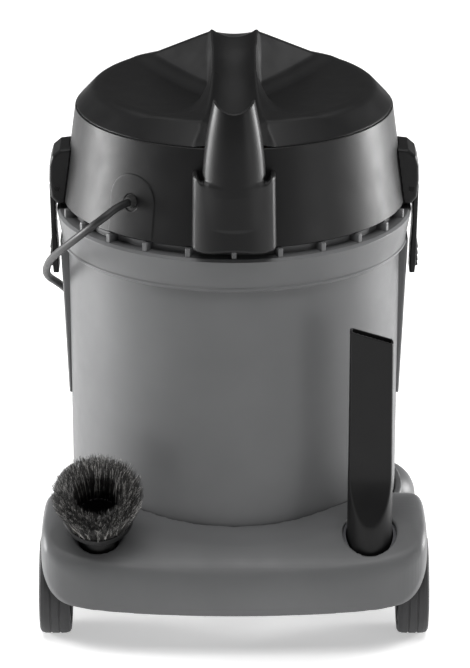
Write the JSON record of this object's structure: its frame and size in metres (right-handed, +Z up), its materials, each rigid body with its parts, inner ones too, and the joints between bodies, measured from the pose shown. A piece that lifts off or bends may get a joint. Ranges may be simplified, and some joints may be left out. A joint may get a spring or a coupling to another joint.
{
  "type": "shop vacuum",
  "caption": "Compact wheeled wet and dry shop vacuum with a round tub, latched motor head, cable hook, stored crevice nozzle and dusting brush, and mains cord.",
  "frame": {"origin": "on the floor, under the middle of the machine's bounding box without its cord", "axes": "+Z up, +Y towards the front with the hose inlet and switch, -Y the rear with the cable hook and stored tools, +X to the right seen from the rear"},
  "size_m": [0.351, 0.5541, 0.5239],
  "materials": {
    "grey_plastic": "satin",
    "black_plastic": "satin",
    "inner_plastic": "satin",
    "rubber_black": "satin",
    "tyre": "matte",
    "wheel_plastic": "satin",
    "cord_rubber": "satin",
    "bristle": "matte",
    "steel": "satin",
    "aluminium": "satin",
    "copper": "satin",
    "carbon": "matte",
    "foam": "matte",
    "filter_paper": "matte",
    "float_plastic": "satin",
    "nickel": "polished",
    "switch_red": "gloss"
  },
  "bodies": {
    "root": {"tub": "grey_plastic", "inlet_socket": "grey_plastic", "inlet_baffle": "inner_plastic", "inlet_seal": "rubber_black", "tub_screws": "steel", "chassis": "grey_plastic", "rear_axle": "steel", "hub_caps": "wheel_plastic", "nozzle_cup": "inner_plastic", "brush_cup": "inner_plastic", "power_cord": "cord_rubber", "cord_coil": "cord_rubber", "cord_tail": "cord_rubber", "mains_plug": "cord_rubber", "plug_pins": "nickel"},
    "wheel_left": {"wheel_disc_left": "wheel_plastic", "tyre_left": "tyre"},
    "wheel_right": {"wheel_disc_right": "wheel_plastic", "tyre_right": "tyre"},
    "caster_left": {"caster_fork_left": "wheel_plastic", "caster_pin_left": "steel"},
    "caster_right": {"caster_fork_right": "wheel_plastic", "caster_pin_right": "steel"},
    "caster_roller_left": {"caster_wheel_left": "tyre"},
    "caster_roller_right": {"caster_wheel_right": "tyre"},
    "nozzle": {"crevice_nozzle": "black_plastic"},
    "brush": {"brush_body": "black_plastic", "brush_bristles": "bristle"},
    "latch_left": {"latch_lever_left": "black_plastic"},
    "latch_right": {"latch_lever_right": "black_plastic"},
    "switch": {"switch_rocker": "switch_red"},
    "rotor": {"motor_rotor": "steel", "motor_fan": "aluminium"},
    "float": {"float": "float_plastic"},
    "head": {"head_skirt": "black_plastic", "cable_panel": "black_plastic", "cord_gland": "rubber_black", "head_cover": "black_plastic", "motor_deck": "inner_plastic", "head_gasket": "rubber_black", "motor_fan_can": "steel", "motor_frame": "aluminium", "motor_field_coils": "copper", "motor_bearings": "steel", "motor_brushes": "carbon", "motor_mounts": "rubber_black", "motor_bridge": "steel", "sound_foam": "foam", "filter_pleats": "filter_paper", "filter_top_ring": "rubber_black", "filter_cap": "inner_plastic", "float_cage": "inner_plastic", "switch_bezel": "black_plastic", "switch_body": "black_plastic", "cable_hook": "black_plastic", "head_screws": "steel", "latch_bracket_left": "black_plastic", "latch_bracket_right": "black_plastic", "latch_pins": "steel"}
  },
  "joints": [
    {"name": "head_lift", "type": "slide", "parent": "root", "child": "head", "axis": [0, 0, 1], "range_m": [0, 0.2]},
    {"name": "wheel_spin_left", "type": "hinge", "parent": "root", "child": "wheel_left", "pos_m": [-0.1615, -0.1117, 0.045], "axis": [1, 0, 0], "continuous": true},
    {"name": "caster_swivel_left", "type": "hinge", "parent": "root", "child": "caster_left", "pos_m": [-0.133, 0.1263, 0.045], "axis": [0, 0, 1], "continuous": true},
    {"name": "caster_spin_left", "type": "hinge", "parent": "caster_left", "child": "caster_roller_left", "pos_m": [-0.133, 0.1123, 0.02], "axis": [1, 0, 0], "continuous": true},
    {"name": "latch_left", "type": "hinge", "parent": "head", "child": "latch_left", "pos_m": [-0.16, 0.0113, 0.388], "axis": [0, 1, 0], "range_deg": [0, 80]},
    {"name": "wheel_spin_right", "type": "hinge", "parent": "root", "child": "wheel_right", "pos_m": [0.1615, -0.1117, 0.045], "axis": [1, 0, 0], "continuous": true},
    {"name": "caster_swivel_right", "type": "hinge", "parent": "root", "child": "caster_right", "pos_m": [0.133, 0.1263, 0.045], "axis": [0, 0, 1], "continuous": true},
    {"name": "caster_spin_right", "type": "hinge", "parent": "caster_right", "child": "caster_roller_right", "pos_m": [0.133, 0.1123, 0.02], "axis": [1, 0, 0], "continuous": true},
    {"name": "latch_right", "type": "hinge", "parent": "head", "child": "latch_right", "pos_m": [0.16, 0.0113, 0.388], "axis": [0, -1, 0], "range_deg": [0, 80]},
    {"name": "nozzle_pull", "type": "slide", "parent": "root", "child": "nozzle", "axis": [0, 0, 1], "range_m": [0, 0.072]},
    {"name": "brush_pull", "type": "slide", "parent": "root", "child": "brush", "axis": [0, 0, 1], "range_m": [0, 0.068]},
    {"name": "switch_rock", "type": "hinge", "parent": "head", "child": "switch", "pos_m": [0, 0.1603, 0.421], "axis": [1, 0, 0], "range_deg": [-12, 0]},
    {"name": "rotor_spin", "type": "hinge", "parent": "head", "child": "rotor", "pos_m": [0, 0.0113, 0.4], "axis": [0, 0, 1], "continuous": true},
    {"name": "float_rise", "type": "slide", "parent": "head", "child": "float", "axis": [0, 0, 1], "range_m": [0, 0.055]}
  ]
}
